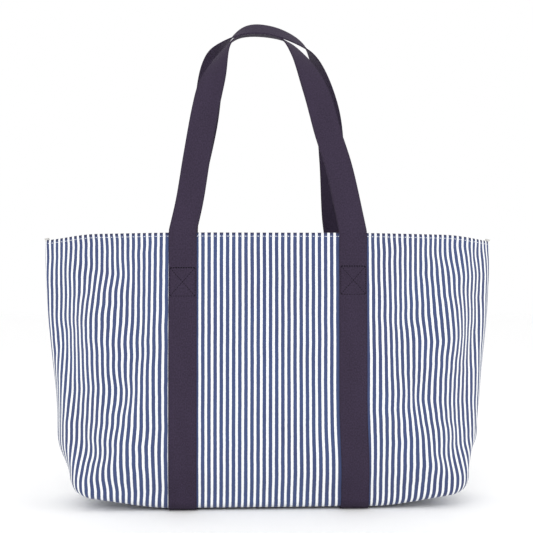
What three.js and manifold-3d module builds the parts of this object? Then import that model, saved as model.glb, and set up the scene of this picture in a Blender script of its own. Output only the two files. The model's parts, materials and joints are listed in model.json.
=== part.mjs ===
// Striped canvas tote bag with two webbing handles, standing open on its base.
// Millimetres. +X runs across the bag, the front is at -Y, +Z is up. The origin is the centre of
// the footprint, on the surface that the bag stands on.
//
// The wall of the bag is described by the turn of its outline. At each height, a wall laid flat is
// PANEL_WIDTH wide, and its outline turns by wallAngle() at a distance s from the wall's middle:
// a lens at the mouth, pinched at the side seams, and a rectangle with round corners at the base.

import * as THREE from 'three';
import { mergeVertices } from 'three/addons/utils/BufferGeometryUtils.js';
import Module from 'manifold-3d';

const wasm = await Module();
wasm.setup();

// ---------------------------------------------------------------- driving dimensions

const GAP = 0.3; // between pieces that touch
const UNDER_WEBBING = 0.5; // between the canvas and the webbing sewn to it
const CANVAS = 1.2; // thickness of the canvas
const HEM_DEPTH = 32; // canvas turned in at the mouth, where it is double
const PANEL_WIDTH = 684; // one wall laid flat, side seam to side seam
const RIM_HEIGHT = 377;
const RIM_DIP = 7; // how far the mouth drops at the side seams

const BASE_FLAT = 247; // half of the straight front edge of the base
const BASE_CORNER = 28; // corner radius of the base, seen from above
const BASE_LIFT = 17; // how far the ends of the base rise
const FOLD_RADIUS = 14; // where a wall turns under into the base
const FOLD_RADIUS_END = 23;

const WEBBING = 38; // width of the webbing
const WEBBING_THICKNESS = 2;
const LEG_SPACING = 230; // between the two legs of one handle, centre to centre
const LEG_SHIFT = -7; // from the bag's middle to the middle between the legs, along X
const STITCH_BOX_TOP = 45; // below the rim
const STITCH_BOX_WIDTH = 32;
const STITCH_BOX_HEIGHT = 38;
const HEM_STITCH_DROP = 5; // below the rim
const THREAD_WIDTH = 1;
const THREAD_THICKNESS = 0.4;

const HANDLE_TOP_Y = 25; // from the middle plane to the middle of the webbing at the top
const HANDLE_STEPS = 44;
const FRONT_HANDLE = {
  arch: [[-106, 42], [-96, 106.5], [-84, 176.5], [-75, 213], [-54, 265.5], [-34, 280.5],
    [23, 276.5], [47, 251], [69.5, 199], [84.5, 139], [98, 90.5]],
  twist: [0.292, 0.453, 0.479, 0.734],
  tip: 6,
};
const BACK_HANDLE = {
  arch: [[-110.5, 32], [-104.5, 118.5], [-95, 193], [-72.5, 263], [-54.5, 282], [-10.5, 301],
    [28, 300.5], [69, 276.5], [80, 255.5], [87.5, 166.5], [112, 43]],
  twist: [0.154, 0.476, 0.505, 0.9],
  tip: -27.5,
};
const BINDING = 10; // width of the tape that binds the seams inside
const BINDING_THICKNESS = 2;
const SIDE_BINDING_INSET = 4.5; // from a side seam to the outer edge of its binding
const SIDE_BINDING_TAIL = 4; // how far its end stands over the rim
const SIDE_BINDING_START = 6; // its lower end, over the foot of the side seam
const BASE_BINDING_INSET = 4; // from the base seam to the outer face of its binding

// ---------------------------------------------------------------- values that follow from them

const HALF_PANEL = PANEL_WIDTH / 2;
const BASE_TURN = (BASE_CORNER * Math.PI) / 2; // length of the corner's arc
const BASE_Z = WEBBING_THICKNESS + UNDER_WEBBING; // underside of the canvas, on its two straps
const LEG = LEG_SPACING / 2;
const HINGE_HEIGHT = RIM_HEIGHT - STITCH_BOX_TOP + 1;
const STRAP_FACE = UNDER_WEBBING + WEBBING_THICKNESS; // outer face of a sewn strap, off the canvas
const HANDLE_OFFSET = GAP * 2 + THREAD_THICKNESS; // inner face of a handle, over the hem stitching

const rad = THREE.MathUtils.degToRad;
const { lerp, smoothstep, clamp } = THREE.MathUtils;

// ---------------------------------------------------------------- materials

const cloth = (name, color, roughness = 0.9) =>
  new THREE.MeshStandardMaterial({ name, color, roughness, metalness: 0 });
const canvas = cloth('striped_canvas', 0x9aa6cf);
const webbing = cloth('webbing', 0x40384a, 0.8);
const whiteThread = cloth('white_thread', 0xf2f2ee);
const darkThread = cloth('dark_thread', 0x2c2633);
const tape = cloth('binding_tape', 0xe9e7df);

// ---------------------------------------------------------------- the surface of the wall

// Turn of the outline at s from the wall's middle; level is 0 at the base and 1 at the mouth.
// Between the two, the wall turns back evenly from the legs towards the side seams.
function wallAngle(s, level) {
  const along = Math.abs(s);
  const atBase = 90 * clamp((along - BASE_FLAT) / BASE_TURN, 0, 1);
  const between = 36 * smoothstep(along, 160, 260) + 46 * smoothstep(along, 280, HALF_PANEL);
  const atMouth = 21 * smoothstep(along, 74, 172) + 29 * smoothstep(along, 270, HALF_PANEL);
  const above = lerp(between, atMouth, smoothstep(level, 0.2, 0.95));
  return rad(lerp(atBase, above, smoothstep(level, 0, 0.175)));
}

function integrate(f, from, to, steps = 48) {
  const h = (to - from) / steps;
  let sum = 0;
  for (let i = 0; i < steps; i += 1) sum += f(from + (i + 0.5) * h);
  return sum * h;
}

// Place and outward direction on the front wall's outline. It closes on the plane y = 0.
function outline(s, level) {
  const side = s < 0 ? -1 : 1;
  const along = Math.abs(s);
  const angle = wallAngle(along, level);
  return {
    x: side * integrate((t) => Math.cos(wallAngle(t, level)), 0, along),
    y: -integrate((t) => Math.sin(wallAngle(t, level)), along, HALF_PANEL),
    outX: side * Math.sin(angle),
    outY: -Math.cos(angle),
  };
}

const rimHeight = (s) => RIM_HEIGHT - RIM_DIP * smoothstep(Math.abs(s), 250, HALF_PANEL);
const baseLift = (s) => BASE_LIFT * smoothstep(Math.abs(s), 135, 290);
const foldRadius = (s) => lerp(FOLD_RADIUS, FOLD_RADIUS_END, smoothstep(Math.abs(s), 240, 300));

// A point of the front wall: at height z, or in the fold under the wall, where turn runs from
// 0 at the base seam to 90 degrees at the foot of the upright wall. off is measured outwards.
function wallPoint(s, { z = 0, turn = 90 }, off) {
  const r = foldRadius(s);
  const foot = BASE_Z + baseLift(s) + r;
  const level = turn < 90 ? 0 : clamp((z - foot) / (rimHeight(s) - foot), 0, 1);
  const o = outline(s, level);
  const a = rad(turn);
  const out = off * Math.sin(a) - r * (1 - Math.sin(a));
  const height = turn < 90 ? foot - (r + off) * Math.cos(a) : z;
  const y = Math.min(o.y + o.outY * out, -GAP / 2);
  return new THREE.Vector3(o.x + o.outX * out, y, height);
}

// Rows of a wall from bottom to top: the fold, then fractions of the upright wall's height.
const FOLD_ROWS = [0, 30, 60].map((turn) => ({ turn }));
function rowPoint(s, row, off) {
  if (row.turn !== undefined) return wallPoint(s, row, off);
  const foot = BASE_Z + baseLift(s) + foldRadius(s);
  const top = row.drop === undefined ? lerp(foot, rimHeight(s), row.part) : rimHeight(s) - row.drop;
  return wallPoint(s, { z: top }, off);
}

// ---------------------------------------------------------------- building bent slabs

// Evenly spaced stations between breakpoints, with counts[i] steps from breaks[i].
function stations(breaks, counts) {
  const list = counts.flatMap((n, i) =>
    Array.from({ length: n }, (_, k) => lerp(breaks[i], breaks[i + 1], k / n)));
  return [...list, breaks.at(-1)];
}

const mirrored = (list) => [...list.slice(1).reverse().map((s) => -s), ...list];

// A slab of one body: place(across, along, face) gives the point for each station, and face is 0
// on the inner side and 1 on the outer side, which looks along -Y when across is +X and along +Z.
function slab(across, along, place) {
  const geometry = new THREE.BoxGeometry(1, 1, 1, across.length - 1, along.length - 1, 1);
  geometry.rotateX(Math.PI / 2);
  const position = geometry.attributes.position;
  for (let i = 0; i < position.count; i += 1) {
    const column = Math.round((position.getX(i) + 0.5) * (across.length - 1));
    const row = Math.round((position.getZ(i) + 0.5) * (along.length - 1));
    const face = position.getY(i) < 0 ? 1 : 0;
    const p = place(across[column], along[row], face);
    position.setXYZ(i, p.x, p.y, p.z);
  }
  geometry.computeVertexNormals();
  return geometry;
}

// Several overlapping slabs joined into one body.
function joined(slabs) {
  const solids = slabs.map((geometry) => {
    const bare = geometry.clone();
    bare.deleteAttribute('normal');
    bare.deleteAttribute('uv');
    const welded = mergeVertices(bare, 1e-4);
    return new wasm.Manifold(new wasm.Mesh({
      numProp: 3,
      vertProperties: Float32Array.from(welded.attributes.position.array),
      triVerts: Uint32Array.from(welded.index.array),
    }));
  });
  const mesh = solids.reduce((all, solid) => all.add(solid)).getMesh();
  const geometry = new THREE.BufferGeometry();
  geometry.setAttribute('position', new THREE.BufferAttribute(mesh.vertProperties, 3));
  geometry.setIndex(new THREE.BufferAttribute(mesh.triVerts, 1));
  geometry.computeVertexNormals();
  return geometry;
}

function named(name, geometry, material) {
  const mesh = new THREE.Mesh(geometry, material);
  mesh.name = name;
  return mesh;
}

// ---------------------------------------------------------------- canvas

const strapIn = LEG - WEBBING / 2;
const strapOut = LEG + WEBBING / 2;
const WALL_COLUMNS = mirrored(stations(
  [0, strapIn, strapOut, BASE_FLAT, BASE_FLAT + BASE_TURN, HALF_PANEL], [2, 3, 3, 3, 3]));
const WALL_PARTS = [0, 0.06, 0.12, 0.18, 0.28, 0.4, 0.52, 0.66, 0.8].map((part) => ({ part }));
const STRAP_TOP = { drop: RIM_HEIGHT - HINGE_HEIGHT + GAP };
const HEM_ROWS = [{ drop: HEM_DEPTH, hem: true }, { drop: 0, hem: true }];
const WALL_ROWS = [...FOLD_ROWS, ...WALL_PARTS, STRAP_TOP, { drop: HEM_DEPTH + 2 }, ...HEM_ROWS];

const wallPanel = () => slab(WALL_COLUMNS, WALL_ROWS, (s, row, face) =>
  rowPoint(s, row, face ? 0 : -CANVAS * (row.hem ? 2 : 1)));

// The base lies inside the fold of the walls. Its ends rise with them.
function basePanel() {
  const half = BASE_FLAT + BASE_TURN;
  const columns = mirrored(stations([0, strapIn, strapOut, BASE_FLAT, half], [1, 1, 3, 3]));
  return slab(columns, stations([-1, 1], [6]), (s, along, face) => {
    const edge = wallPoint(s, { turn: 0 }, 0);
    const x = edge.x - Math.sign(s) * GAP * smoothstep(Math.abs(s), BASE_FLAT, half);
    return new THREE.Vector3(x, along * (edge.y + GAP), edge.z + (face ? 0 : CANVAS));
  });
}

// ---------------------------------------------------------------- seam bindings inside

// Tape over the turned-in edges of a side seam, standing in from the seam; its end shows at the rim.
function sideBinding() {
  const rim = rimHeight(HALF_PANEL);
  const foot = BASE_Z + BASE_LIFT + FOLD_RADIUS_END;
  const rows = stations([foot + SIDE_BINDING_START, rim + SIDE_BINDING_TAIL], [9]);
  return slab([-1, 1], rows, (side, z, face) => {
    const seam = wallPoint(HALF_PANEL, { z: Math.min(z, rim) }, 0);
    const inset = SIDE_BINDING_INSET + (face ? 0 : BINDING);
    return new THREE.Vector3(seam.x - inset, (side * BINDING_THICKNESS * (face ? 0.5 : 1)) / 2, z);
  });
}

// Tape over the edges of the seam between a wall and the base.
function baseBinding() {
  const half = BASE_FLAT + BASE_TURN * 0.2;
  const columns = mirrored(stations([0, strapOut, half], [2, 4]));
  const lower = CANVAS + GAP * 2;
  return slab(columns, [lower, lower + BINDING], (s, rise, face) => {
    const foot = wallPoint(s, { turn: 0 }, 0);
    const inset = BASE_BINDING_INSET + (face ? 0 : BINDING_THICKNESS);
    return new THREE.Vector3(foot.x, foot.y + inset, foot.z + rise);
  });
}

// ---------------------------------------------------------------- webbing sewn to the bag

// Stations across a leg whose middle is at s.
const across = (s, n) => stations([s - WEBBING / 2, s + WEBBING / 2], [n]);
const LEG_ROWS = [...FOLD_ROWS, ...WALL_PARTS, STRAP_TOP];

const sewnLeg = (leg) => slab(across(leg, 3), LEG_ROWS, (s, row, face) =>
  rowPoint(s, row, face ? STRAP_FACE : UNDER_WEBBING));

// The webbing's run under the base, between the feet of the front and back legs.
function baseStrap(side) {
  const end = -wallPoint(LEG, { turn: 0 }, 0).y - GAP;
  return slab(across(LEG_SHIFT + side * LEG, 1), stations([-1, 1], [2]), (x, along, face) =>
    new THREE.Vector3(x, -along * end, face ? 0 : WEBBING_THICKNESS));
}

// ---------------------------------------------------------------- stitching

const onStrap = GAP + STRAP_FACE;
const threadFace = (base, face) => base + (face ? THREAD_THICKNESS : 0);

// One row of stitches on a sewn strap, from one corner of its stitch box to another.
function stitchRow(leg, [s0, drop0], [s1, drop1]) {
  const length = Math.hypot(s1 - s0, drop1 - drop0);
  return slab([-THREAD_WIDTH / 2, THREAD_WIDTH / 2], stations([0, 1], [3]), (w, t, face) => {
    const s = leg + lerp(s0, s1, t) - (w * (drop1 - drop0)) / length;
    const drop = lerp(drop0, drop1, t) + (w * (s1 - s0)) / length;
    return rowPoint(s, { drop }, threadFace(onStrap, face));
  });
}

// A square of stitches with both diagonals.
function stitchBox(leg) {
  const x = STITCH_BOX_WIDTH / 2;
  const [top, low] = [STITCH_BOX_TOP + 1, STITCH_BOX_TOP + 1 + STITCH_BOX_HEIGHT];
  const over = THREAD_WIDTH / 2;
  return joined([
    stitchRow(leg, [-x - over, low], [x + over, low]),
    stitchRow(leg, [-x - over, top], [x + over, top]),
    stitchRow(leg, [-x, low + over], [-x, top - over]),
    stitchRow(leg, [x, low + over], [x, top - over]),
    stitchRow(leg, [-x, low], [x, top]),
    stitchRow(leg, [x, low], [-x, top]),
  ]);
}

// The row of stitches that holds the hem, just under the rim.
const hemStitching = () => slab(
  mirrored(stations([0, strapIn, strapOut, BASE_FLAT, HALF_PANEL - 4], [2, 3, 3, 6])),
  [HEM_STITCH_DROP + THREAD_WIDTH, HEM_STITCH_DROP],
  (s, drop, face) => rowPoint(s, { drop }, threadFace(GAP, face)));

// ---------------------------------------------------------------- handles

// A free loop of webbing, from the top of one stitch box to the other. It lies on the canvas up to
// the rim, then leans in over the mouth. arch lists the middle of the webbing as distances along
// the wall and above the rim. Its outer face turns up on the way over the top, between the parts
// of its length in twist, and there it is tipped towards the front of the wall by tip degrees.
function handle({ arch, twist, tip }, shift) {
  const feet = [-LEG, LEG].map((leg) =>
    wallPoint(leg + shift, { z: RIM_HEIGHT }, HANDLE_OFFSET + WEBBING_THICKNESS / 2));
  const legAngles = [-LEG, LEG].map((leg) => wallAngle(leg + shift, 1));
  const rise = Math.max(...arch.map(([, height]) => height));
  const footY = (x) => lerp(feet[0].y, feet[1].y, clamp((x - feet[0].x) / LEG_SPACING, 0, 1));
  const lean = (x, height) => lerp(footY(x), -HANDLE_TOP_Y, (height / rise) ** 1.1);
  const path = new THREE.CatmullRomCurve3(
    [[feet[0].x, 0], ...arch.map(([x, height]) => [x + shift, height]), [feet[1].x, 0]]
      .map(([x, height]) => new THREE.Vector3(x, lean(x, height), RIM_HEIGHT + height)),
    false, 'centripetal');
  const [start, up, down, end] = twist;

  // The middle of the webbing, the direction of its width and of its outer face.
  const section = (t) => {
    const turned = smoothstep(t, start, up) * (1 - smoothstep(t, down, end));
    const rising = t < (up + down) / 2;
    const toTop = lerp(legAngles[rising ? 0 : 1], Math.PI / 2, turned);
    const beta = rising ? toTop : Math.PI - toTop;
    const tilt = rad(tip) * turned;
    const tangent = path.getTangentAt(t);
    const wide = new THREE.Vector3(
      -Math.cos(beta), Math.sin(beta) * Math.cos(tilt), Math.sin(beta) * Math.sin(tilt));
    wide.addScaledVector(tangent, -wide.dot(tangent)).normalize();
    return { p: path.getPointAt(t), wide, out: new THREE.Vector3().crossVectors(tangent, wide) };
  };

  const onWall = [HINGE_HEIGHT + GAP, lerp(HINGE_HEIGHT, RIM_HEIGHT, 0.5)];
  const rows = [
    ...onWall.map((z) => ({ z, side: -1 })),
    ...stations([0, 1], [HANDLE_STEPS]).map((t) => ({ t })),
    ...onWall.slice().reverse().map((z) => ({ z, side: 1 })),
  ];
  return slab([-1, 0, 1], rows, (w, row, face) => {
    const thickness = face ? WEBBING_THICKNESS : 0;
    if (row.side) {
      const s = shift + row.side * (LEG - (w * WEBBING) / 2);
      return wallPoint(s, { z: row.z }, HANDLE_OFFSET + thickness);
    }
    const { p, wide, out } = section(row.t);
    return p.addScaledVector(wide, (-w * WEBBING) / 2)
      .addScaledVector(out, thickness - WEBBING_THICKNESS / 2);
  });
}

// ---------------------------------------------------------------- assembly

// Everything on one wall, built as the front. The back is the same, turned half round.
function wall(name, handleShape, shift) {
  const group = new THREE.Group();
  const [left, right] = name === 'front' ? ['left', 'right'] : ['right', 'left'];
  group.add(named(`${name}_panel`, wallPanel(), canvas));
  group.add(named(`${name}_base_binding`, baseBinding(), tape));
  group.add(named(`${name}_hem_stitching`, hemStitching(), whiteThread));
  for (const [label, side] of [[left, -1], [right, 1]]) {
    const leg = shift + side * LEG;
    group.add(named(`${name}_${label}_strap`, sewnLeg(leg), webbing));
    group.add(named(`${name}_${label}_stitch_box`, stitchBox(leg), darkThread));
  }
  group.add(named(`${name}_handle`, handle(handleShape, shift), webbing));
  return group;
}

const bag = new THREE.Group();

const front = wall('front', FRONT_HANDLE, LEG_SHIFT);
const back = wall('back', BACK_HANDLE, -LEG_SHIFT);
back.rotation.z = Math.PI;
bag.add(front, back);

bag.add(named('base_panel', basePanel(), canvas));
for (const [label, side] of [['left', -1], ['right', 1]]) {
  const binding = named(`${label}_side_binding`, sideBinding(), tape);
  binding.rotation.z = side < 0 ? Math.PI : 0;
  bag.add(binding);
  bag.add(named(`${label}_base_strap`, baseStrap(side), webbing));
}

export default bag;
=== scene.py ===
"""Looks for the striped canvas tote bag with two webbing handles, in metres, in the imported
model's frame.

Each wall is one cut of canvas: it starts as a flat grid, is bent to the wall's shape, slumps as
cloth, and its top is then turned in as a hem. A wall's webbing is one strip, from the foot of one
leg, up over the handle and down to the foot of the other leg.
"""

import json
import math

import bmesh
import bpy
from mathutils import Matrix, Vector


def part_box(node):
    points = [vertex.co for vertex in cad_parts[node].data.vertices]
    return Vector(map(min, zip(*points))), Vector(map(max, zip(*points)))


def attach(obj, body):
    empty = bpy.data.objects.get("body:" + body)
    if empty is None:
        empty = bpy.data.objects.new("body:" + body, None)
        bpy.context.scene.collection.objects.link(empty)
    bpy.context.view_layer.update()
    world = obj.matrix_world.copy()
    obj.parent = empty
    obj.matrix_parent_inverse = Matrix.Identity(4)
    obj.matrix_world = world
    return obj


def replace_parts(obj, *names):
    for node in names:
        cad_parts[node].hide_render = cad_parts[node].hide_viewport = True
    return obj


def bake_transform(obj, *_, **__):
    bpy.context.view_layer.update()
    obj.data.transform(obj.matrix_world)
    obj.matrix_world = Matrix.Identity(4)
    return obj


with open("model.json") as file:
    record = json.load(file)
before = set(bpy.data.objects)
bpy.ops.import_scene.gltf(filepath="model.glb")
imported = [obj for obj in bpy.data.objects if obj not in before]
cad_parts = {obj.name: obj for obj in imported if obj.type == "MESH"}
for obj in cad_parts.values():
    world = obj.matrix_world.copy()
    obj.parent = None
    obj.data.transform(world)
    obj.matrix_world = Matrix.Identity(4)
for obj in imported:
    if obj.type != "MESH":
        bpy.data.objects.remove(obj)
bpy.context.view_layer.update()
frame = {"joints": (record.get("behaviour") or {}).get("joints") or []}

# ---------------------------------------------------------------- sizes

RIM_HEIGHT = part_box("front_panel")[1].z
HINGE = next(j for j in frame["joints"] if j["name"] == "front_handle_swing")
HINGE_HEIGHT = HINGE["pos_m"][2]

PANEL_WIDTH = 0.684  # one wall laid flat, seam to seam
HALF_PANEL = PANEL_WIDTH / 2
RIM_DIP = 0.007  # how far the rim falls at the side seams
RIM_DIP_FROM = 0.25  # the stretches are distances from the middle of the wall, along it
WAIST_TURNS = ((36, 0.16, 0.26), (46, 0.28, HALF_PANEL))  # degrees, and the stretch they take
MOUTH_TURNS = ((21, 0.074, 0.172), (29, 0.27, HALF_PANEL))
BASE_FLAT = 0.247  # half of the straight edge of the base
BASE_CORNER = 0.028
BASE_TURN = BASE_CORNER * math.pi / 2
BASE_LIFT = 0.017  # how far the foot of the wall rises at the corners
BASE_LIFT_STRETCH = (0.135, 0.29)
FOLD_RADIUS = 0.014  # under the wall
FOLD_RADIUS_END = 0.023
FOLD_STRETCH = (0.24, 0.3)
BASE_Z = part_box("front_panel")[0].z
WALL_CLEARANCE = 0.0005  # from the plane in which the two walls are sewn together

CANVAS = 0.0011  # thickness
CANVAS_MIDDLE = -0.0006  # the middle of the canvas, outwards from the wall's surface
HEM_GAP = 0.0014  # from the outer layer of the hem to the inner one
SEAM_ALLOWANCE = 0.009
STRIPE_PITCH = 0.00827
STRIPE_START = -0.0038  # middle of the nearest blue stripe, from the middle of the wall

WEBBING = 0.038  # width
WEBBING_THICKNESS = 0.0019
WEBBING_ROUNDING = 0.0006
WEBBING_COLUMNS = (-1, -0.97, -0.9, -0.6, -0.3, 0, 0.3, 0.6, 0.9, 0.97, 1)
LEG = 0.115  # from the middle between the legs to the middle of one
LEG_SHIFT = -0.007  # from the bag's middle to the middle between the legs, along X
LEG_OFF = 0.00115  # the middle of the webbing, off the canvas
HANDLE_OFF = 0.002  # and where it leaves the rim
HANDLE_TOP_Y = 0.025  # from the top of a handle to the middle plane of the bag

# A handle's points are millimetres to the right of the middle between its legs, and over the rim.
# Its twist says where along it the webbing turns its edge to the front and where it turns back, and
# its tip is the tilt of the webbing at the top, in degrees.
FRONT_ARCH = {
    "points": [(-106, 42), (-96, 106.5), (-84, 176.5), (-75, 213), (-54, 265.5), (-34, 280.5),
               (23, 276.5), (47, 251), (69.5, 199), (84.5, 139), (98, 90.5)],
    "twist": (0.292, 0.453, 0.479, 0.734),
    "tip": 6,
}
BACK_ARCH = {
    "points": [(-110.5, 32), (-104.5, 118.5), (-95, 193), (-72.5, 263), (-54.5, 282),
               (-10.5, 300), (28, 299.5), (65, 272), (73.5, 253.5), (85.6, 166.5), (112, 43)],
    "twist": (0.154, 0.476, 0.505, 0.72),
    "tip": -31,
}

# ---------------------------------------------------------------- the surface of the wall


def lerp(a, b, t):
    return a + (b - a) * t


def smooth(x, low, high):
    t = min(1, max(0, (x - low) / (high - low)))
    return t * t * (3 - 2 * t)


def wall_angle(s, level):
    """Turn of the wall's outline at s from its middle. level is 0 at the base and 1 at the
    mouth."""
    along = abs(s)
    at_base = 90 * min(1, max(0, (along - BASE_FLAT) / BASE_TURN))
    waist, mouth = (sum(turn * smooth(along, low, high) for turn, low, high in turns)
                    for turns in (WAIST_TURNS, MOUTH_TURNS))
    above = lerp(waist, mouth, smooth(level, 0.2, 0.95))
    return math.radians(lerp(at_base, above, smooth(level, 0, 0.175)))


def outline(s, level, steps=32):
    """Place on the front wall's outline, which closes on the plane y = 0, and its outward
    direction."""
    along, side = abs(s), -1 if s < 0 else 1
    x = sum(math.cos(wall_angle(along * (i + 0.5) / steps, level)) for i in range(steps))
    rest = HALF_PANEL - along
    y = sum(math.sin(wall_angle(along + rest * (i + 0.5) / steps, level)) for i in range(steps))
    angle = wall_angle(along, level)
    place = Vector((side * x * along / steps, -y * rest / steps, 0))
    return place, Vector((side * math.sin(angle), -math.cos(angle), 0))


def rim_height(s):
    return RIM_HEIGHT - RIM_DIP * smooth(abs(s), RIM_DIP_FROM, HALF_PANEL)


def fold_radius(s):
    return lerp(FOLD_RADIUS, FOLD_RADIUS_END, smooth(abs(s), *FOLD_STRETCH))


def foot_height(s):
    return BASE_Z + BASE_LIFT * smooth(abs(s), *BASE_LIFT_STRETCH) + fold_radius(s)


def wall_point(s, z, off):
    """A point at height z of the upright wall, off outwards from the canvas's outer face."""
    foot = foot_height(s)
    place, out = outline(s, min(1, max(0, (z - foot) / (rim_height(s) - foot))))
    p = place + out * off
    return Vector((p.x, min(p.y, -WALL_CLEARANCE), z))


def fold_point(s, turn, off):
    """A point of the fold under the wall: turn is 0 at the base seam and 90 at the upright wall."""
    r, a = fold_radius(s), math.radians(turn)
    place, out = outline(s, 0)
    p = place + out * (off * math.sin(a) - r * (1 - math.sin(a)))
    return Vector((p.x, min(p.y, -WALL_CLEARANCE), foot_height(s) - (r + off) * math.cos(a)))


def drop_point(s, drop, off):
    return wall_point(s, rim_height(s) - drop, off)


# ---------------------------------------------------------------- making pieces


def finished(name, bm, material):
    """The bmesh as a smooth-shaded object at the origin, with its material."""
    mesh = bpy.data.meshes.new(name)
    bm.to_mesh(mesh)
    bm.free()
    mesh.polygons.foreach_set("use_smooth", [True] * len(mesh.polygons))
    piece = bpy.data.objects.new(name, mesh)
    bpy.context.scene.collection.objects.link(piece)
    mesh.materials.append(material)
    return piece


def bent_grid(columns, rows, place, lay):
    """A grid of cloth with a vertex for each column and row. place(column, row) is its point and
    lay(column, row) its place on the flat cloth, which becomes the piece's UV map."""
    bm = bmesh.new()
    bmesh.ops.create_grid(bm, x_segments=len(columns) - 1, y_segments=len(rows) - 1, size=1)
    bm.verts.ensure_lookup_table()
    uv = bm.loops.layers.uv.new("cloth")
    cells = [(column, row) for row in rows for column in columns]
    flat = [lay(column, row) for column, row in cells]
    for vert, (column, row) in zip(bm.verts, cells):
        vert.co = place(column, row)
    bm.verts.index_update()
    for face in bm.faces:
        for loop in face.loops:
            loop[uv].uv = flat[loop.vert.index]
    return bm


def thickened(piece, thickness, rounding=None):
    """Gives a sheet its thickness, both ways from its middle, and rounds its edges."""
    fine = piece.modifiers.new("Smooth", "SUBSURF")
    fine.levels = fine.render_levels = 1
    fine.boundary_smooth = "PRESERVE_CORNERS"
    thick = piece.modifiers.new("Thickness", "SOLIDIFY")
    thick.thickness, thick.offset = thickness, 0
    if rounding:
        bevel = piece.modifiers.new("Edges", "BEVEL")
        bevel.width, bevel.segments = rounding, 2
        bevel.limit_method, bevel.angle_limit = "ANGLE", math.radians(50)
    return piece


def turned(piece, back):
    """The back wall's pieces are made as the front's, then turned half round."""
    if back:
        piece.data.transform(Matrix.Rotation(math.pi, 4, "Z"))
    return piece


def add_stitch(bm, start, end, up, width, height):
    """One stitch, a flattened bead lying from start to end."""
    x = (end - start).normalized()
    y = up.cross(x).normalized()
    turn = Matrix((x, y, x.cross(y))).transposed().to_4x4()
    size = Matrix.Diagonal(((end - start).length / 2, width / 2, height / 2, 1))
    bmesh.ops.create_icosphere(
        bm, subdivisions=1, radius=1, matrix=Matrix.Translation((start + end) / 2) @ turn @ size)


# ---------------------------------------------------------------- finishes


def colour(r, g, b):
    """Display values from 0 to 255 as a linear colour."""
    parts = [c / 255 for c in (r, g, b)]
    return [c / 12.92 if c < 0.04 else ((c + 0.055) / 1.055) ** 2.4 for c in parts] + [1]


class Value:
    """A socket of a finish. Arithmetic on it adds Math nodes."""

    def __init__(self, finish, socket):
        self.finish, self.socket = finish, socket

    def math(self, operation, *others, clamp=False):
        settings = {"operation": operation, "use_clamp": clamp}
        return self.finish.node("ShaderNodeMath", settings, dict(enumerate((self, *others))))

    def __add__(self, other):
        return self.math("ADD", other)

    def __mul__(self, other):
        return self.math("MULTIPLY", other)

    def __sub__(self, other):
        return self.math("SUBTRACT", other)

    def __rsub__(self, other):
        return self * -1 + other

    def __truediv__(self, other):
        return self.math("DIVIDE", other)

    __radd__, __rmul__ = __add__, __mul__

    def clamped(self):
        return self.math("ADD", 0, clamp=True)

    def above(self, edge, soft):
        """0 below the edge and 1 above it, over a width of soft."""
        return ((self - edge) / soft + 0.5).clamped()


class Finish:
    """A material under construction."""

    def __init__(self, name, **constants):
        self.material = bpy.data.materials.new(name)
        self.material.use_nodes = True
        self.nodes = self.material.node_tree.nodes
        self.shader = self.nodes["Principled BSDF"]
        for socket, value in constants.items():
            self.shader.inputs[socket.replace("_", " ")].default_value = value

    def fill(self, node, sockets):
        for key, value in sockets.items():
            if isinstance(value, Value):
                self.material.node_tree.links.new(value.socket, node.inputs[key])
            else:
                node.inputs[key].default_value = value

    def node(self, kind, settings, sockets, output=0):
        node = self.nodes.new(kind)
        for key, value in settings.items():
            setattr(node, key, value)
        self.fill(node, sockets)
        return Value(self, node.outputs[output])

    def cloth_place(self):
        """Distances across and along the flat cloth."""
        uv = self.node("ShaderNodeUVMap", {"uv_map": "cloth"}, {})
        return [self.node("ShaderNodeSeparateXYZ", {}, {0: uv}, axis) for axis in "XY"]

    def joined(self, x, y):
        return self.node("ShaderNodeCombineXYZ", {}, {"X": x, "Y": y})

    def noise(self, place, scale=1.0, detail=2.0):
        sockets = {"Vector": place, "Scale": scale, "Detail": detail}
        return self.node("ShaderNodeTexNoise", {}, sockets)

    def mix(self, share, a, b):
        return self.node("ShaderNodeMix", {"data_type": "RGBA"}, {0: share, 6: a, 7: b}, 2)

    def bump(self, height, strength, distance):
        sockets = {"Height": height, "Strength": strength, "Distance": distance}
        return self.node("ShaderNodeBump", {}, sockets)

    def done(self, **inputs):
        self.fill(self.shader, {k.replace("_", " "): v for k, v in inputs.items()})
        return self.material


BLUE = colour(60, 77, 121)
BLUE_DEEP = colour(54, 55, 92)
# painted shade: the blue darkened in the shadow of the fold at the rim
BLUE_FOLD_SHADE = colour(36, 34, 66)
NATURAL_WHITE = colour(247, 249, 249)
CREAM_FLECK = colour(232, 234, 238)
AUBERGINE = colour(58, 47, 69)
AUBERGINE_DEEP = colour(36, 28, 43)


def plain_weave(finish, across, along, thread):
    """The height of a plain weave, whose threads go over and under in turn."""
    warp = (across * (math.pi / thread)).math("SINE")
    weft = (along * (math.pi / thread)).math("SINE")
    return warp.math("ABSOLUTE") * 0.5 + (warp * weft) * 0.5


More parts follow.
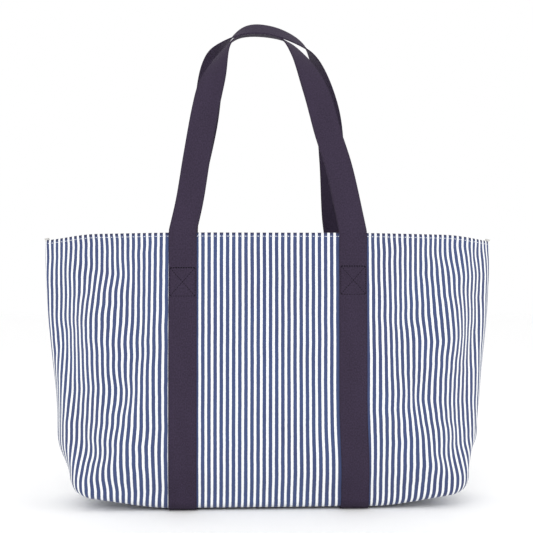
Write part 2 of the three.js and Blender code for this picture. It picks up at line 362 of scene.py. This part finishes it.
def striped_canvas():
    """Yarn-dyed cotton canvas, with even blue and white stripes along the wall's height. The
    stripes are pulled a little out of line beside the webbing, and the blue is darkened with
    painted shade in the fold at the rim."""
    finish = Finish("striped_canvas", Roughness=0.9, Sheen_Weight=0.15)
    across, along = finish.cloth_place()
    ragged = finish.noise(finish.joined(across * 900, along * 260), detail=1.0) - 0.5
    slack = across.math("ABSOLUTE").above(0.15, 0.06) * 0.85 + 0.15
    pull = (finish.noise(finish.joined(across * 11, along * 22), detail=1.5) - 0.5) * 0.0062
    step = ((across + pull * slack - STRIPE_START) / STRIPE_PITCH + 0.5).math("FRACT")
    from_middle = (step - 0.5).math("ABSOLUTE") * 2 + ragged * 0.12
    blue = 1 - from_middle.above(0.60, 0.12)
    yarn = finish.noise(finish.joined(across * 1400, along * 28), detail=2.0)
    patch = finish.noise(finish.joined(across * 9, along * 7), detail=2.0)
    deep = (yarn.above(0.56, 0.3) * 0.55 + patch.above(0.55, 0.3) * 0.3).clamped()
    # painted shade: the blue is darkened within a few millimetres of the fold at the rim, where the
    # fold is in shadow
    painted_fold_shade = 1 - along.math("ABSOLUTE").above(0.0026, 0.0012)
    blues = finish.mix(painted_fold_shade * 0.75, finish.mix(deep, BLUE, BLUE_DEEP), BLUE_FOLD_SHADE)
    whites = finish.mix(yarn.above(0.6, 0.3) * 0.5, NATURAL_WHITE, CREAM_FLECK)
    weave = plain_weave(finish, across, along, 0.00062)
    creases = finish.noise(finish.joined(across * 26, along * 11), detail=3.0)
    height = weave * 0.25 + creases * 2.0
    return finish.done(
        Base_Color=finish.mix(blue, whites, blues),
        Roughness=0.86 + yarn * 0.1,
        Normal=finish.bump(height, 0.35, 0.0011))


def ribbed_webbing():
    """Heavy cotton webbing, with fine ribs across it, and painted shade along its edges."""
    finish = Finish("webbing", Roughness=0.85, Specular_IOR_Level=0.25)
    across, along = finish.cloth_place()
    wander = finish.noise(finish.joined(across * 120, along * 60), detail=2.0) - 0.5
    rib = ((along + wander * 0.0002) * (math.tau / 0.0015)).math("SINE") * 0.5 + 0.5
    cord = (across * (math.tau / 0.0019)).math("SINE") * 0.5 + 0.5
    # painted shade: the webbing is darkened along both edges, where its rounded edges turn from the
    # light
    edge = across.math("ABSOLUTE").above(WEBBING / 2 - 0.0016, 0.0006)
    fleck = finish.noise(finish.joined(across * 620, along * 420), detail=2.0)
    cloud = finish.noise(finish.joined(across * 40, along * 14), detail=3.0)
    shade = (rib * 0.2 + fleck.above(0.5, 0.3) * 0.45 + cloud.above(0.5, 0.6) * 0.25
             + edge * 0.15).clamped()
    height = rib * 0.6 + cord * 0.35 + cloud * 0.8
    return finish.done(
        Base_Color=finish.mix(shade, AUBERGINE, AUBERGINE_DEEP),
        Roughness=0.78 + fleck * 0.14,
        Normal=finish.bump(height, 0.5, 0.0004))


def sewing_thread(name, light, dark):
    """Twisted sewing thread."""
    finish = Finish(name, Roughness=0.8, Specular_IOR_Level=0.1)
    place = finish.node("ShaderNodeTexCoord", {}, {}, "Object")
    twist = finish.noise(place, scale=2400.0, detail=1.0)
    return finish.done(
        Base_Color=finish.mix(twist, light, dark),
        Roughness=0.75 + twist * 0.15,
        Normal=finish.bump(twist, 0.4, 0.0002))


def woven_tape():
    """Thin twill tape over the raw edges of the seams."""
    finish = Finish("binding_tape", Roughness=0.9)
    across, along = finish.cloth_place()
    twill = ((across + along) * (math.tau / 0.0016)).math("SINE") * 0.5 + 0.5
    fleck = finish.noise(finish.joined(across * 800, along * 300), detail=2.0)
    return finish.done(
        Base_Color=finish.mix(fleck.above(0.5, 0.5) * 0.6 + twill * 0.2,
                              colour(214, 213, 208), colour(168, 166, 166)),
        Roughness=0.85 + fleck * 0.1,
        Normal=finish.bump(twill + fleck, 0.4, 0.0003))


CANVAS_FINISH = striped_canvas()
WEBBING_FINISH = ribbed_webbing()
WHITE_THREAD = sewing_thread("white_thread", colour(244, 245, 246), colour(212, 216, 224))
DARK_THREAD = sewing_thread("dark_thread", colour(20, 17, 26), colour(8, 7, 11))
TAPE_FINISH = woven_tape()

# ---------------------------------------------------------------- canvas walls

COLUMNS = 114
WALL_ROWS = 60
FOLD_ROWS = 4
SEAM_ROWS = 2
EDGE_COLUMNS = 2  # past each side seam
WALL_TOP = 0.004  # where the wall's rows would end, under the rim
RIM_ROUNDING = 0.0006  # the middle of the canvas, under the top of the fold
SEAM_SPLAY = 0.0008  # the edge turned up inside, off the wall
SEAM_LAYER = 0.0007  # the edge turned in at a side seam, off the seam's plane
SETTLING_LIMIT = 0.004  # how far a point may move as the canvas slumps
HEM_DROPS = (0.0011, 0.005, 0.012, 0.020, 0.027, 0.032)


def wall_columns():
    inner = [PANEL_WIDTH * (i / COLUMNS - 0.5) for i in range(COLUMNS + 1)]
    turned_in = [HALF_PANEL + 0.0045, HALF_PANEL + SEAM_ALLOWANCE]
    return [-turned_in[1], -turned_in[0], *inner, *turned_in]


def wall_rows():
    """Rows from the base seam's turned-up edge to the cut edge of the hem. Each is its kind, and
    a height, a turn, a share of the wall or a drop under the rim."""
    return ([("seam", SEAM_ALLOWANCE), ("seam", 0.0035)]
            + [("fold", 90 * i / FOLD_ROWS) for i in range(FOLD_ROWS)]
            + [("wall", i / WALL_ROWS) for i in range(WALL_ROWS)]
            + [("rim", HEM_DROPS[0]), ("rim", 0)]
            + [("hem", drop) for drop in HEM_DROPS])


def laid_flat(s, row):
    """Where a point of the wall lies on the flat cloth: across from its middle, and up from the
    fold at the rim."""
    kind, amount = row
    arc = fold_radius(s) * math.pi / 2
    upright = rim_height(s) - foot_height(s)
    up = {"seam": -upright - arc - amount, "fold": -upright - arc * (1 - amount / 90),
          "wall": -lerp(upright, WALL_TOP, amount), "rim": -amount, "hem": amount}[kind]
    return s, up


def draped(s, row):
    """A point of the middle of the canvas before it slumps."""
    kind, amount = row
    side = -1 if s < 0 else 1
    inside = max(0, abs(s) - HALF_PANEL)
    s = side * min(abs(s), HALF_PANEL)
    if kind == "seam":
        p = fold_point(s, 0, CANVAS_MIDDLE)
        p.z += amount
        p.y = min(p.y + SEAM_SPLAY, CANVAS_MIDDLE)
    elif kind == "fold":
        p = fold_point(s, amount, CANVAS_MIDDLE)
    elif kind == "wall":
        z = lerp(foot_height(s), rim_height(s) - WALL_TOP, amount)
        p = wall_point(s, z, CANVAS_MIDDLE)
    elif kind == "rim":
        p = drop_point(s, amount + RIM_ROUNDING, CANVAS_MIDDLE - (0 if amount else HEM_GAP / 2))
    else:
        p = drop_point(s, amount + RIM_ROUNDING, CANVAS_MIDDLE - HEM_GAP)
    if inside:
        p.x -= side * inside
        p.y = -SEAM_LAYER
    return p


def slump(piece, spare, frames=40):
    """Lets the canvas settle as cloth, held where it is sewn, and gives the settled points.
    spare is how much longer the loose cloth is than its place."""
    cloth = piece.modifiers.new("Cloth", "CLOTH")
    settings = cloth.settings
    settings.vertex_group_mass = "sewn"
    settings.quality = 7
    settings.mass = 0.25
    settings.tension_stiffness = settings.compression_stiffness = 25
    settings.shear_stiffness = 8
    settings.bending_stiffness = 6
    settings.tension_damping = settings.compression_damping = 8
    settings.air_damping = 3
    settings.vertex_group_shrink = "spare"
    settings.shrink_min, settings.shrink_max = 0, -spare
    settings.effector_weights.gravity = 0.2
    cloth.point_cache.frame_start, cloth.point_cache.frame_end = 1, frames
    for number in range(1, frames + 1):
        bpy.context.scene.frame_set(number)
    shown = piece.evaluated_get(bpy.context.evaluated_depsgraph_get())
    settled = [v.co.copy() for v in shown.data.vertices]
    piece.modifiers.remove(cloth)
    bpy.context.scene.frame_set(1)
    return settled


def wall_weights(piece, cells, shift):
    """How firmly each point is held, and how much spare cloth there is."""
    for name, weight in (("sewn", is_sewn), ("spare", spare_cloth)):
        group = piece.vertex_groups.new(name=name)
        for index, (s, row) in enumerate(cells):
            group.add([index], weight(s, row, shift), "REPLACE")


def sway(s, z, back):
    """How far the front wall has slid sideways, at the foot of its right leg."""
    furthest, middle, wide, low, high = 0.0042, 0.098, 0.045, 0.01, 0.16
    near = math.exp(-((s - middle) / wide) ** 2)
    return 0 if back else furthest * near * smooth(high - z, 0, high - low)


def from_leg(s, shift):
    """Distance from the middle of the nearer leg of webbing."""
    return min(abs(s - shift - leg) for leg in (-LEG, LEG))


def is_sewn(s, row, shift):
    """1 at the seams and under the webbing, and nearly so at the rim."""
    kind, amount = row
    at_side = abs(s) > HALF_PANEL - 0.002
    at_foot = amount < 0.02
    if kind != "wall" or from_leg(s, shift) < WEBBING / 2 or at_side or at_foot:
        return 1
    return 0.9 * smooth(amount, 0.95, 1)


def spare_cloth(s, row, _):
    """Most of the spare cloth is outside the legs, and none at the foot and rim."""
    kind, amount = row
    if kind != "wall":
        return 0
    outer = smooth(abs(s), 0.1, 0.15)
    return (0.35 + 0.65 * outer) * smooth(amount, 0, 0.12) * smooth(1 - amount, 0, 0.15)


def pressed(s, z, dents):
    """How far the canvas is pushed out, before it slumps, by soft dents and bulges."""
    return sum(depth * math.exp(-((s - s0) / wide) ** 2 - ((z - z0) / high) ** 2)
               for s0, z0, wide, high, depth in dents)


def on_both_sides(dents):
    """The same dents, on the left and right of the wall."""
    return [(side * along, *dent) for side in (-1, 1) for along, *dent in dents]


# Each dent: its place along the wall and its height, its width and height, and its depth.
FRONT_DENTS = on_both_sides([
    (0.262, 0.362, 0.060, 0.022, -0.005), (0.256, 0.252, 0.028, 0.050, 0.009),
    (0.305, 0.215, 0.028, 0.030, -0.004), (0.212, 0.160, 0.024, 0.026, -0.009),
    (0.240, 0.098, 0.040, 0.022, 0.006), (0.215, 0.062, 0.030, 0.022, 0.005),
]) + [
    (-0.300, 0.270, 0.030, 0.120, -0.005), (0.250, 0.240, 0.050, 0.080, 0.008),
    (-0.312, 0.045, 0.028, 0.045, 0.005), (-0.262, 0.045, 0.030, 0.030, -0.003),
    (0.330, 0.090, 0.040, 0.085, -0.004), (0.270, 0.330, 0.060, 0.040, 0.006),
    (0.245, 0.085, 0.030, 0.030, 0.003), (-0.240, 0.345, 0.070, 0.025, -0.004),
    (-0.040, 0.060, 0.04, 0.03, -0.002), (0.045, 0.050, 0.04, 0.03, 0.003),
]
BACK_DENTS = [
    (-0.230, 0.255, 0.05, 0.040, 0.006), (-0.200, 0.180, 0.05, 0.03, -0.006),
    (-0.250, 0.110, 0.05, 0.035, 0.005), (0.210, 0.300, 0.05, 0.035, 0.005),
    (0.250, 0.230, 0.05, 0.03, -0.006), (0.205, 0.150, 0.06, 0.035, 0.006),
    (0.030, 0.100, 0.05, 0.03, -0.004), (-0.050, 0.070, 0.04, 0.03, 0.003),
]


def canvas_wall(name, dents, shift, back):
    """One wall's canvas as the front, and its settled points by row and column."""
    columns, rows = wall_columns(), wall_rows()
    cells = [(s, row) for row in rows for s in columns]

    def place(s, row):
        p = draped(s, row)
        p.x += sway(s, p.z, back)
        if row[0] in ("wall", "rim", "hem"):
            beside = smooth(from_leg(s, shift), WEBBING / 2, WEBBING / 2 + 0.02)
            free = beside * smooth(HALF_PANEL - abs(s), 0, 0.02)
            _, out = outline(s, 0.8)
            p += out * pressed(s, p.z, dents) * free
        return p

    bm = bent_grid(columns, rows, place, laid_flat)
    piece = finished(name, bm, CANVAS_FINISH)
    wall_weights(piece, cells, shift)
    settled = slump(piece, spare=0.012)
    for vert, point in zip(piece.data.vertices, settled):
        move = point - vert.co
        vert.co += move * min(1, SETTLING_LIMIT / max(move.length, 1e-6))
    piece.vertex_groups.clear()
    grid = [[piece.data.vertices[j * len(columns) + i].co.copy() for i in range(len(columns))]
            for j in range(len(rows))]
    return piece, grid


def on_canvas(grid, s, drop, off):
    """A point at a distance under the rim of the settled canvas, off its outer face, and the
    direction that the canvas faces there."""
    first_wall = SEAM_ROWS + FOLD_ROWS
    column = min(COLUMNS - 0.001, max(0, (s / PANEL_WIDTH + 0.5) * COLUMNS))
    i, u = int(column) + EDGE_COLUMNS, column % 1
    reach = rim_height(s) - WALL_TOP - foot_height(s)
    last = WALL_TOP + reach / WALL_ROWS
    if drop < last:
        j, v = first_wall + WALL_ROWS - 1, (last - drop) / (last - HEM_DROPS[0] - RIM_ROUNDING)
    else:
        row = (1 - (drop - WALL_TOP) / reach) * WALL_ROWS
        j, v = int(row) + first_wall, row % 1
    low, high = (grid[k][i].lerp(grid[k][i + 1], u) for k in (j, j + 1))
    facing = (grid[j][i + 1] - grid[j][i]).cross(high - low).normalized()
    return low.lerp(high, v) + facing * (off - CANVAS_MIDDLE), facing


def turn_in_hem(piece, grid):
    """Lays the inner layer of the hem along the settled outer one."""
    columns, rows = wall_columns(), wall_rows()
    for j, (kind, drop) in enumerate(rows):
        if kind != "hem" or drop < WALL_TOP:
            continue
        for i, s in enumerate(columns):
            if abs(s) < HALF_PANEL - 0.001:
                point, _ = on_canvas(grid, s, drop, CANVAS_MIDDLE - HEM_GAP)
                piece.data.vertices[j * len(columns) + i].co = point


def hem_stitching(name, grid):
    """A row of light stitches that holds the hem."""
    bm = bmesh.new()
    pitch, length, drop, off = 0.0034, 0.0030, 0.0054, 0.0001
    width, height, margin = 0.0011, 0.0006, 0.006
    count = int((PANEL_WIDTH - 2 * margin) / pitch)
    for k in range(count):
        s = (k - (count - 1) / 2) * pitch
        (start, facing), (end, _) = (on_canvas(grid, s + side * length / 2, drop, off)
                                     for side in (-1, 1))
        add_stitch(bm, start, end, facing, width, height)
    return finished(name, bm, WHITE_THREAD)


# ---------------------------------------------------------------- base and seam bindings

TAPE = 0.0005  # thickness
TAPE_HALF = 0.011  # from the tape's fold to its edge


def base_canvas():
    """The base, with its edges turned up into the seams. Its rows run from -1 to 1 between the
    seams, and past them up the turned edges."""
    half, turned_up, seam_gap = BASE_FLAT + BASE_TURN, 0.2, 0.002
    columns = [half * (i / 45 - 1) for i in range(91)]
    rows = [-1 - turned_up, -1 - turned_up / 2, *(i / 12 - 1 for i in range(25)),
            1 + turned_up / 2, 1 + turned_up]

    def place(s, row):
        edge = fold_point(s, 0, CANVAS_MIDDLE)
        within = max(-1, min(1, row))
        up = max(0, (abs(row) - 1) / turned_up) * SEAM_ALLOWANCE
        return Vector((edge.x, within * -(edge.y + seam_gap), edge.z + up))

    def lay(s, row):
        half_depth, below_rim = 0.08, 0.3
        return s, row * half_depth - below_rim

    piece = finished("base_canvas", bent_grid(columns, rows, place, lay), CANVAS_FINISH)
    thickened(piece, CANVAS)
    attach(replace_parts(piece, "base_panel"), "root")
    depth = 2 * (SEAM_ALLOWANCE - fold_point(0, 0, 0).y)


def tape_over(name, rows, place, node):
    """Tape folded over a raw seam. place(round_fold, row) has its two edges at -1 and 1."""
    sides = [-1, -0.75, -0.5, -0.25, -0.08, 0.08, 0.25, 0.5, 0.75, 1]
    bm = bent_grid(sides, rows, place, lambda round_fold, row: (round_fold * TAPE_HALF, row))
    piece = thickened(finished(name, bm, TAPE_FINISH), TAPE)
    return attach(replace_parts(piece, node), "root")


def off_seam(round_fold, gap):
    """How far the tape stands to one side or the other of the seam that it is folded over."""
    return gap * min(1, abs(round_fold) * 4) * (1 if round_fold > 0 else -1)


def side_tape(label, side):
    """Tape down a side seam inside the bag. Its upper end stands up a little at the rim."""
    tail, foot_gap, overhang, reach = 0.003, 0.004, 0.001, 0.0065
    bent, lean, droop, gap = 0.008, 0.0035, 0.0015, 0.0021
    top = rim_height(HALF_PANEL) + tail
    low = foot_height(HALF_PANEL) + foot_gap
    rows = [lerp(low, top, i / 60) for i in range(61)]

    def place(round_fold, z):
        seam = wall_point(HALF_PANEL, min(z, rim_height(HALF_PANEL)), 0)
        depth = SEAM_ALLOWANCE + overhang - abs(round_fold) * reach
        over = smooth(z, top - bent, top)
        x = seam.x - depth + over * lean
        return Vector((side * x, off_seam(round_fold, gap) * side,
                       z - droop * over * abs(round_fold)))

    return tape_over(f"{label}_side_tape", rows, place, f"{label}_side_binding")


def base_tape(label, back):
    """Tape along the seam between a wall and the base, inside."""
    half = BASE_FLAT + BASE_TURN * 0.2
    fold_rise, reach, seam_inset, gap = 0.0125, 0.010, 0.0014, 0.0019
    rows = [half * (i / 40 - 1) for i in range(81)]

    def place(round_fold, s):
        edge = fold_point(s, 0, CANVAS_MIDDLE)
        rise = fold_rise - abs(round_fold) * reach
        inside = seam_inset + off_seam(round_fold, gap)
        p = Vector((edge.x, edge.y + inside, edge.z + rise))
        return Vector((-p.x, -p.y, p.z)) if back else p

    return tape_over(f"{label}_base_tape", rows, place, f"{label}_base_binding")


# ---------------------------------------------------------------- webbing


def centripetal(points, steps=24):
    """A smooth line through the points, as many short steps."""
    ends = [points[0] * 2 - points[1], *points, points[-1] * 2 - points[-2]]
    line = []
    for a, b, c, d in zip(ends, ends[1:], ends[2:], ends[3:]):
        ab, bc, cd = ((q - p).length ** 0.5 for p, q in ((a, b), (b, c), (c, d)))
        leave = ((b - a) / ab - (c - a) / (ab + bc) + (c - b) / bc) * bc
        arrive = ((c - b) / bc - (d - b) / (bc + cd) + (d - c) / cd) * bc
        for k in range(steps):
            t = k / steps
            line.append(b * (2 * t ** 3 - 3 * t ** 2 + 1) + leave * (t ** 3 - 2 * t ** 2 + t)
                        + c * (3 * t ** 2 - 2 * t ** 3) + arrive * (t ** 3 - t ** 2))
    return [*line, points[-1]]


def spaced(line, count):
    """Points and directions at equal distances along a line."""
    lengths = [0]
    for a, b in zip(line, line[1:]):
        lengths.append(lengths[-1] + (b - a).length)
    found, k = [], 0
    for i in range(count + 1):
        want = lengths[-1] * i / count
        while k < len(line) - 2 and lengths[k + 1] < want:
            k += 1
        t = (want - lengths[k]) / (lengths[k + 1] - lengths[k])
        found.append((line[k].lerp(line[k + 1], t), (line[k + 1] - line[k]).normalized()))
    return found


def arch_rows(arch, shift, count=150):
    """The free loop over the mouth: the middle of the webbing and the direction of its width."""
    left, right = (wall_point(shift + leg, RIM_HEIGHT, HANDLE_OFF) for leg in (-LEG, LEG))
    leg_angles = [wall_angle(shift + leg, 1) for leg in (-LEG, LEG)]
    rise = max(height for _, height in arch["points"]) / 1000

    def lean(x, height):
        foot = lerp(left.y, right.y, min(1, max(0, (x - left.x) / (2 * LEG))))
        return lerp(foot, -HANDLE_TOP_Y, (height / rise) ** 1.1)

    middle = [(shift + x / 1000, height / 1000) for x, height in arch["points"]]
    flat = [(left.x, 0), *middle, (right.x, 0)]
    line = centripetal([Vector((x, lean(x, h), RIM_HEIGHT + h)) for x, h in flat])
    start, up, down, end = arch["twist"]
    rows = []
    for i, (p, tangent) in enumerate(spaced(line, count)):
        t = i / count
        raised = smooth(t, start, up) * (1 - smooth(t, down, end))
        rising = t < (up + down) / 2
        beta = lerp(leg_angles[0 if rising else 1], math.pi / 2, raised)
        beta = beta if rising else math.pi - beta
        tilt = math.radians(arch["tip"]) * raised
        wide = Vector((-math.cos(beta), math.sin(beta) * math.cos(tilt),
                       math.sin(beta) * math.sin(tilt)))
        wide = (wide - tangent * wide.dot(tangent)).normalized()
        rows.append(("arch", p, wide))
    return rows


def leg_rows(middle, side, back):
    """One leg, from its foot to the rim, with its closest rows around the height of the handle's
    hinge. middle is its place on the wall."""
    foot_place = middle + sway(middle, BASE_Z, back)
    feet = [("fold", (foot_place, side), turn) for turn in range(0, 90, 10)]
    foot = foot_height(middle)
    fine_low, fine_high = HINGE_HEIGHT - 0.010, HINGE_HEIGHT + 0.012
    heights = [lerp(foot, fine_low, i / 56) for i in range(56)]
    heights += [lerp(fine_low, fine_high, i / 22) for i in range(22)]
    heights += [lerp(fine_high, RIM_HEIGHT, i / 9) for i in range(9)]
    return feet + [("leg", (middle + sway(middle, z, back), side), z) for z in heights]


def strip_point(w, row):
    """A point of the middle of the webbing. w runs from -1 at its outer edge to 1 at its inner."""
    kind, *where = row
    if kind == "arch":
        middle, across = where
        return middle - across * (w * WEBBING / 2)
    (middle, side), at = where
    s = middle - side * w * WEBBING / 2
    if kind == "fold":
        return fold_point(s, at, LEG_OFF)
    off = lerp(LEG_OFF, HANDLE_OFF, smooth(at, HINGE_HEIGHT, HINGE_HEIGHT + 0.025))
    return wall_point(s, at, off)


def webbing(name, wall_name, arch, shift, back):
    """A wall's strip of webbing, from the foot of one leg, over the handle, to the foot of the
    other.
    """
    rows = (leg_rows(shift - LEG, -1, back) + arch_rows(arch, shift)
            + leg_rows(shift + LEG, 1, back)[::-1])
    run = [0.0]
    for row, following in zip(rows, rows[1:]):
        run.append(run[-1] + (strip_point(0, following) - strip_point(0, row)).length)
    along = {id(row): distance for row, distance in zip(rows, run)}
    bm = bent_grid(WEBBING_COLUMNS, rows, strip_point,
                   lambda w, row: (w * WEBBING / 2, along[id(row)]))
    bmesh.ops.reverse_faces(bm, faces=bm.faces)
    piece = turned(finished(name, bm, WEBBING_FINISH), back)
    thickened(piece, WEBBING_THICKNESS, WEBBING_ROUNDING)
    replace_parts(piece, f"{wall_name}_handle",
                *(f"{wall_name}_{side}_strap" for side in ("left", "right")))
    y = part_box(f"{wall_name}_handle")[1 if back else 0].y
    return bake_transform(piece, "root", f"{wall_name}_handle", start=(0, y, HINGE_HEIGHT - 0.005),
                    end=(0, y, HINGE_HEIGHT + 0.007))


def base_webbing(label, side):
    """The webbing's run under the base, between the feet of the front and back legs."""
    end = -fold_point(LEG, 0, 0).y - 0.0002
    rows = [end * (i / 20 - 1) for i in range(41)]
    middle = LEG_SHIFT + side * LEG

    def place(w, y):
        slid = sway(middle, BASE_Z, False) * (0.5 - y / end / 2)
        return Vector((middle + slid + w * WEBBING / 2, y, BASE_Z - LEG_OFF))

    bm = bent_grid(WEBBING_COLUMNS, rows, place, lambda w, y: (w * WEBBING / 2, y))
    piece = finished(f"{label}_base_webbing", bm, WEBBING_FINISH)
    thickened(piece, WEBBING_THICKNESS, WEBBING_ROUNDING)
    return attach(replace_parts(piece, f"{label}_base_strap"), "root")


def stitch_box(name, leg, drop, back):
    """A square of stitches with both diagonals, at the top of a leg whose middle is at leg. Its
    top row is the heaviest, its wide dark stitches partly real thread and partly painted shadow."""
    bm = bmesh.new()
    half, height, pitch, length = 0.017, 0.038, 0.0033, 0.0029
    stitch_and_shadow_width, fine, thick = 0.0018, 0.0008, 0.0005
    off = LEG_OFF + WEBBING_THICKNESS / 2
    _, out = outline(leg, 0.9)

    def point(x, down):
        return drop_point(leg + x, down, off)

    corners = [(-half, drop), (half, drop), (half, drop + height), (-half, drop + height)]
    lines = [*zip(corners, corners[1:] + corners[:1]), (corners[0], corners[2]),
             (corners[1], corners[3])]
    for (x0, d0), (x1, d1) in lines:
        # painted shadow: the top row's stitches are drawn wider, standing in for the shadow line
        # along the top of the box
        width = stitch_and_shadow_width if d0 == d1 == drop else fine
        reach = math.hypot(x1 - x0, d1 - d0)
        count = round(reach / pitch)
        for k in range(count):
            t0, t1 = ((k + 0.5 + half_turn * length / pitch / 2) / count for half_turn in (-1, 1))
            ends = [point(lerp(x0, x1, t), lerp(d0, d1, t)) for t in (t0, t1)]
            add_stitch(bm, *ends, out, width, thick)
    piece = turned(finished(name, bm, DARK_THREAD), back)
    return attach(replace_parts(piece, name.replace("stitches", "stitch_box")), "root")


# ---------------------------------------------------------------- assembly


def wall(name, dents, arch, back):
    """Everything on one wall."""
    shift = -LEG_SHIFT if back else LEG_SHIFT
    canvas, grid = canvas_wall(f"{name}_canvas", dents, shift, back)
    turn_in_hem(canvas, grid)
    thickened(turned(canvas, back), CANVAS)
    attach(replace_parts(canvas, f"{name}_panel"), "root")
    stitches = turned(hem_stitching(f"{name}_hem_stitches", grid), back)
    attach(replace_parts(stitches, f"{name}_hem_stitching"), "root")
    webbing(f"{name}_webbing", name, arch, shift, back)
    for side, drop in ((-1, 0.048), (1, 0.0455)):
        label = "left" if (side < 0) != back else "right"
        stitch_box(f"{name}_{label}_stitches", shift + side * LEG, drop, back)


for side, label in ((-1, "left"), (1, "right")):
    base_webbing(label, side)
    side_tape(label, side)
wall("front", FRONT_DENTS, FRONT_ARCH, back=False)
wall("back", BACK_DENTS, BACK_ARCH, back=True)
base_canvas()
base_tape("front", back=False)
base_tape("back", back=True)

# ---------------------------------------------------------------- floor, light and camera


def floor():
    """A plain pale floor under the bag."""
    bm = bmesh.new()
    bmesh.ops.create_grid(bm, x_segments=1, y_segments=1, size=12)
    finish = Finish("pale_floor", Roughness=0.8)
    mesh = bpy.data.meshes.new("floor")
    bm.to_mesh(mesh)
    bm.free()
    mesh.materials.append(finish.done(Base_Color=(0.99, 0.99, 0.99, 1)))
    ground = bpy.data.objects.new("floor", mesh)
    bpy.context.scene.collection.objects.link(ground)


def soft_light(name, place, size, power):
    """A square lamp that faces the middle of the bag."""
    data = bpy.data.lights.new(name, "AREA")
    data.size, data.energy = size, power
    lamp = bpy.data.objects.new(name, data)
    bpy.context.scene.collection.objects.link(lamp)
    lamp.location = place
    lamp.rotation_euler = (Vector((0, 0, 0.3)) - lamp.location).to_track_quat("-Z", "Y").to_euler()


def studio():
    """Even light from all round, and two soft lamps."""
    world = bpy.data.worlds.new("studio")
    world.use_nodes = True
    world.node_tree.nodes["Background"].inputs["Color"].default_value = (1, 1, 1, 1)
    world.node_tree.nodes["Background"].inputs["Strength"].default_value = 1.0
    bpy.context.scene.world = world
    bpy.context.scene.view_settings.view_transform = "Standard"
    soft_light("front_lamp", (-0.6, -2.6, 1.7), 1.6, 22)
    soft_light("side_lamp", (2.4, -1.0, 1.5), 1.4, 8)


def camera():
    """Square on to the front, a little to its left and just under the height of the rim."""
    data = bpy.data.cameras.new("camera")
    data.sensor_width, data.lens = 36, 76.9
    eye = bpy.data.objects.new("camera", data)
    bpy.context.scene.collection.objects.link(eye)
    around, away = math.radians(-3.2), 1.627
    raised, aside = math.radians(1.15), math.radians(0.15)
    eye.location = (math.sin(around) * away, -math.cos(around) * away, 0.300)
    eye.rotation_euler = (math.pi / 2 + raised, 0, around + aside)
    data.clip_start, data.clip_end = 0.05, 60
    bpy.context.scene.camera = eye


floor()
studio()
camera()
